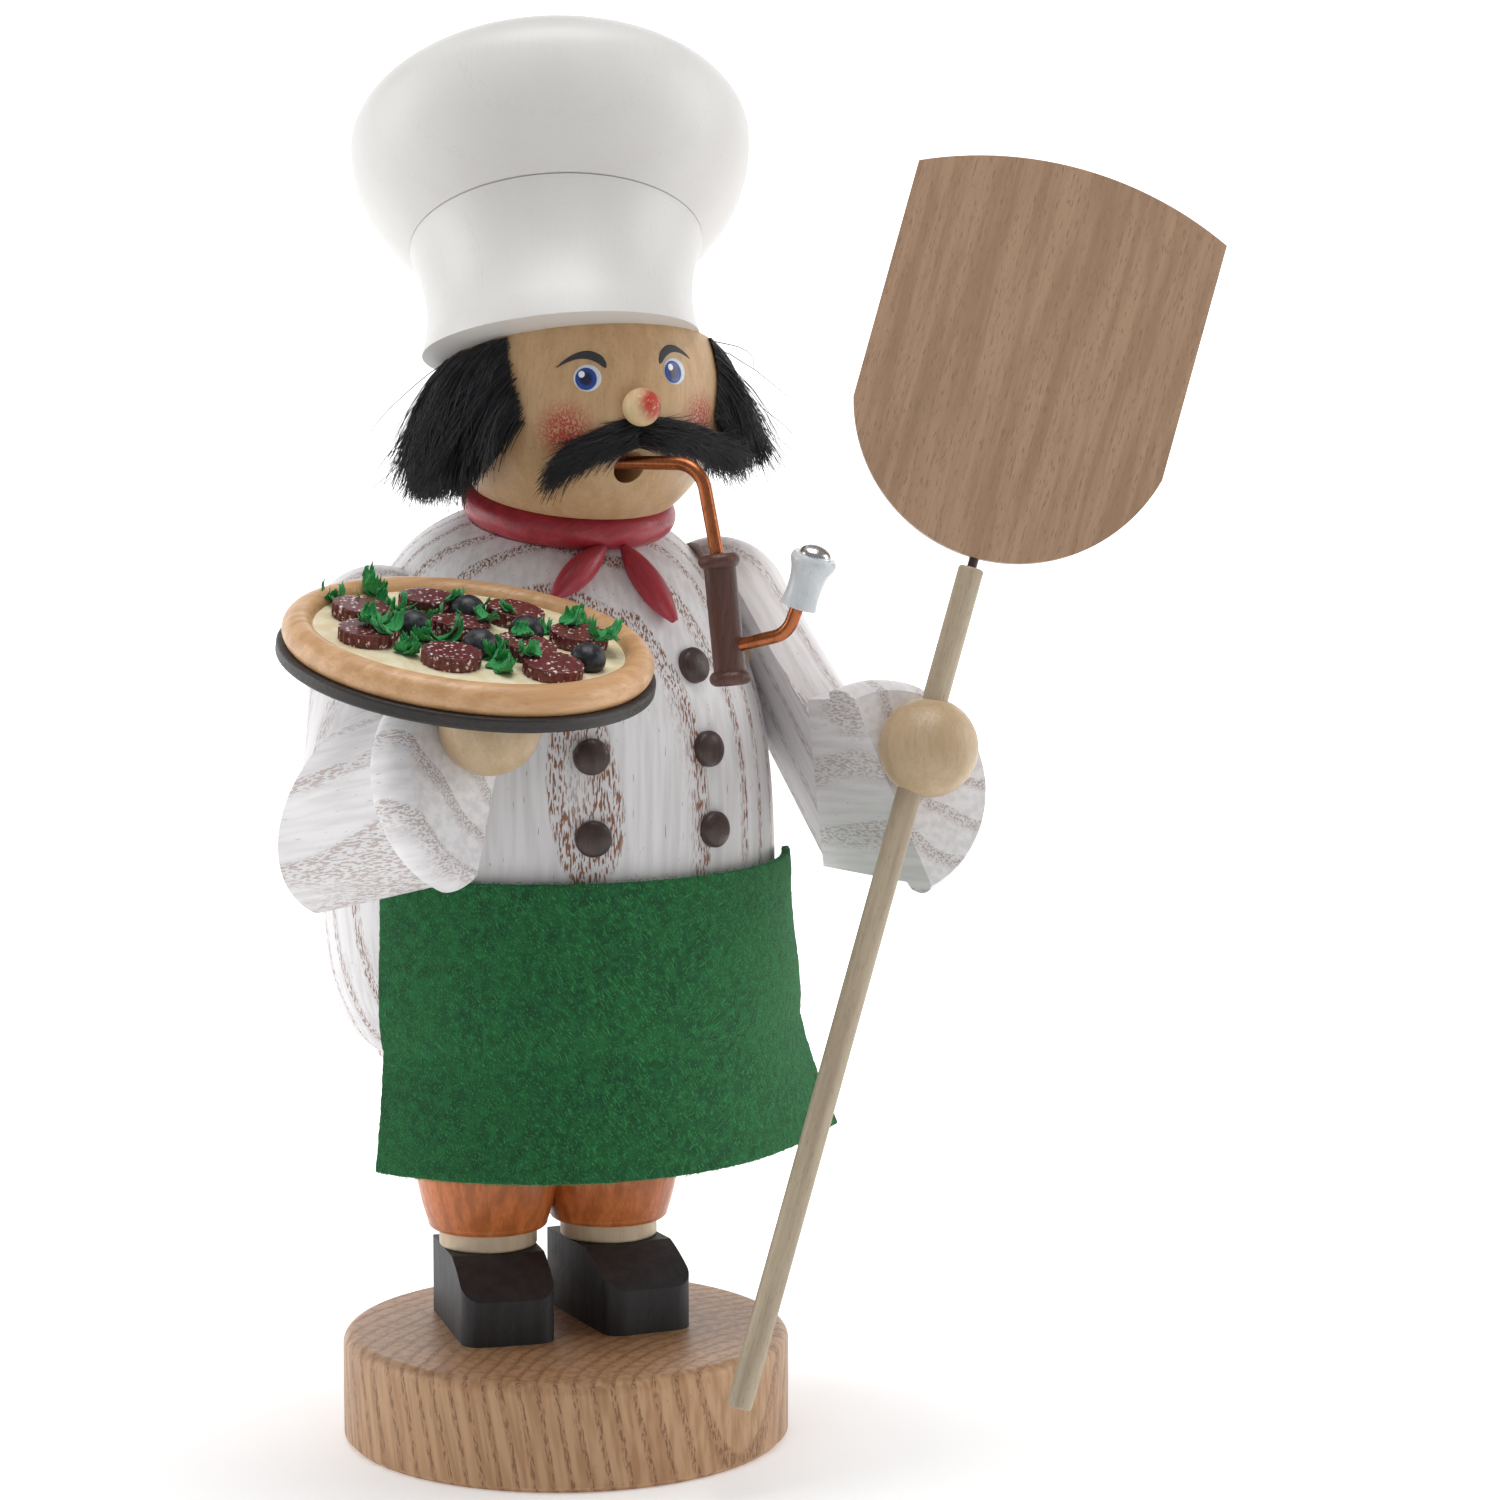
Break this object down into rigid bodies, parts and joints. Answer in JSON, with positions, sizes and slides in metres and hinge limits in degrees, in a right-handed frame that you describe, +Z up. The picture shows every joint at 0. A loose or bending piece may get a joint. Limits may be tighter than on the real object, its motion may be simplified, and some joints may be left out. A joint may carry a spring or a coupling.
{
  "type": "incense smoker",
  "caption": "Turned wooden incense smoker shaped as a pizza baker with pipe, tray and long peel; the hollow body lifts off the legs to set an incense cone inside",
  "frame": {"origin": "centre of the flat underside of the round base disc, on the surface it stands on", "axes": "+Z is up, the figure faces -Y and its left hand is on the +X side"},
  "size_m": [0.1568, 0.1184, 0.2398],
  "materials": {
    "ash_wood": "satin",
    "black_wood": "matte",
    "pale_wood": "matte",
    "orange_wood": "satin",
    "sheet_brass": "satin",
    "nail_steel": "satin",
    "white_glazed_wood": "satin",
    "dark_wood": "satin",
    "green_felt": "matte",
    "red_wood": "satin",
    "face_wood": "satin",
    "nose_wood": "satin",
    "white_wood": "satin",
    "black_fur": "matte",
    "copper_wire": "polished",
    "barrel_wood": "satin",
    "white_bowl": "satin",
    "cap_steel": "polished",
    "hand_wood": "satin",
    "tray_wood": "satin",
    "crust_wood": "satin",
    "cheese_paint": "matte",
    "salami_dough": "satin",
    "olive_beads": "matte",
    "parsley_felt": "matte",
    "handle_wood": "matte",
    "blade_wood": "matte"
  },
  "bodies": {
    "stand": {"base_disc": "ash_wood", "shoe_right": "black_wood", "shoe_left": "black_wood", "sock_right": "pale_wood", "sock_left": "pale_wood", "leg_right": "orange_wood", "leg_left": "orange_wood", "leg_dowels": "pale_wood", "hip_dowels": "pale_wood", "seat_block": "orange_wood", "burner_dish": "sheet_brass", "burner_nails": "nail_steel"},
    "figure": {"jacket": "white_glazed_wood", "buttons": "dark_wood", "apron": "green_felt", "scarf_ring": "red_wood", "scarf_tip_right": "red_wood", "scarf_tip_left": "red_wood", "head": "face_wood", "nose": "nose_wood", "hat": "white_wood", "hat_dowel": "pale_wood", "hair": "black_fur", "moustache": "black_fur", "pipe_stem": "copper_wire", "pipe_arm_wire": "copper_wire", "pipe_barrel": "barrel_wood", "pipe_bowl": "white_bowl", "pipe_cap": "cap_steel", "arm_dowels": "pale_wood", "upper_arm_right": "white_glazed_wood", "forearm_right": "white_glazed_wood", "upper_arm_left": "white_glazed_wood", "forearm_left": "white_glazed_wood", "hand_right": "hand_wood", "hand_left": "hand_wood", "tray": "tray_wood", "tray_peg": "pale_wood", "pizza_crust": "crust_wood", "cheese_layer": "cheese_paint", "salami_slices": "salami_dough", "olives": "olive_beads", "parsley": "parsley_felt", "peel_handle": "handle_wood", "peel_pin": "dark_wood", "peel_blade": "blade_wood"}
  },
  "joints": [
    {"name": "upper_lift", "type": "slide", "parent": "stand", "child": "figure", "axis": [0, 0, 1], "range_m": [0, 0.06]}
  ]
}
